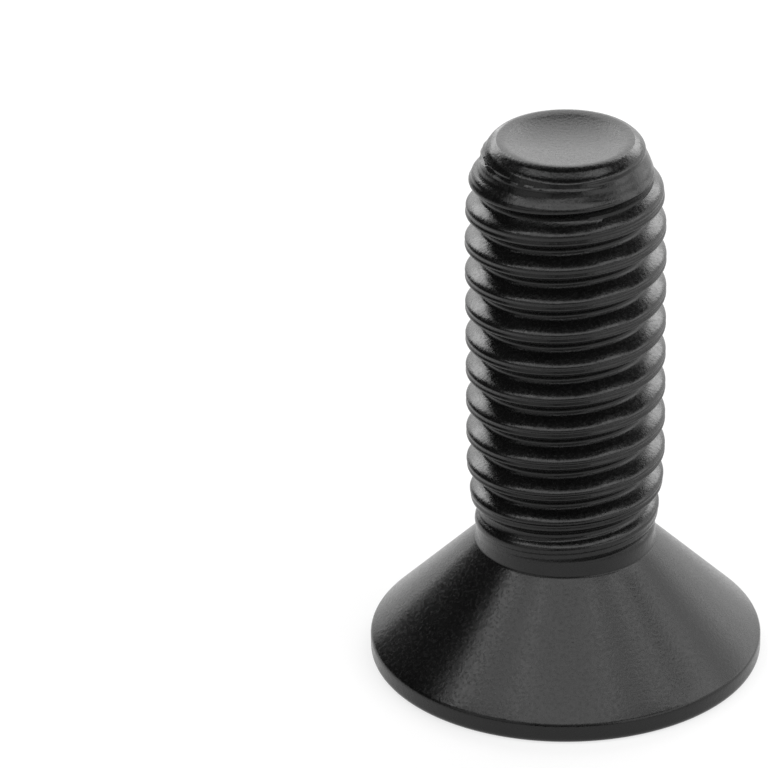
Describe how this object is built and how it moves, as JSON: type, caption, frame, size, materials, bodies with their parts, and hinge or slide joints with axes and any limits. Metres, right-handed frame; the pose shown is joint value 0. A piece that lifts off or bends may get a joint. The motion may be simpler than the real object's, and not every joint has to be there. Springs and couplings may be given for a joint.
{
  "type": "countersunk socket screw",
  "caption": "Steel screw with a flat countersunk head, a hexagon socket in the head face and a full-length rolled metric thread.",
  "frame": {"origin": "centre of the flat head face, on the screw's axis", "axes": "+Z along the axis from the head face to the threaded tip; +X through one corner of the hexagon socket"},
  "size_m": [0.0114, 0.0114, 0.0163],
  "materials": {
    "black_oxide_steel": "black-oxide steel, oiled, satin"
  },
  "bodies": {
    "root": {"countersunk_screw": "black_oxide_steel"}
  },
  "joints": []
}
